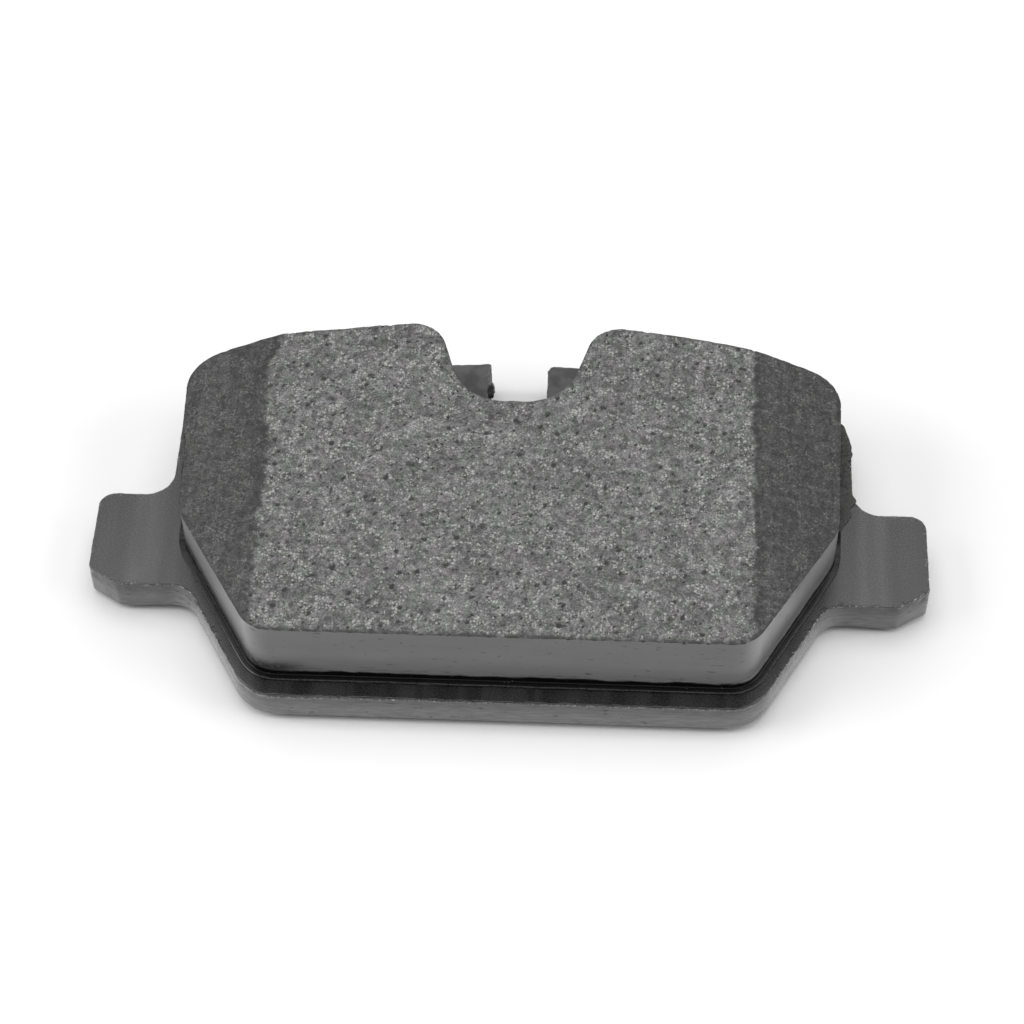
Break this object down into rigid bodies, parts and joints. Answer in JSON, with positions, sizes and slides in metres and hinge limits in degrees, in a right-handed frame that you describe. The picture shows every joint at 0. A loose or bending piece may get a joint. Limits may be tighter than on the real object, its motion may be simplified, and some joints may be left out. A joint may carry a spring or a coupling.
{
  "type": "disc brake pad",
  "caption": "Flat disc brake pad: a steel backing plate with two guide ears carries a notched friction block with sloping ends.",
  "frame": {"origin": "middle of the pad's outer box in plan, at its lowest face, the outer face of the shim", "axes": "+X along the pad, the disc's direction of travel; +Y away from the disc's centre, towards the horns; +Z from the shim to the wearing face"},
  "size_m": [0.123, 0.0622, 0.0178],
  "materials": {
    "shim_rubber": "matt black rubber coating",
    "shim_steel": "cold-rolled strip",
    "shim_adhesive": "pressure-sensitive adhesive",
    "coated_plate": "black powder coat, satin, worn at the sheared edges",
    "bonding_film": "baked phenolic adhesive",
    "underlayer": "black, glossy where it was pressed against the mould",
    "friction_material": "ground composite with pale and dark grains and open pores"
  },
  "bodies": {
    "root": {"shim_outer_rubber": "shim_rubber", "shim_steel": "shim_steel", "shim_inner_rubber": "shim_rubber", "shim_adhesive": "shim_adhesive", "backing_plate": "coated_plate", "bonding_film": "bonding_film", "underlayer": "underlayer", "friction_block": "friction_material"}
  },
  "joints": []
}
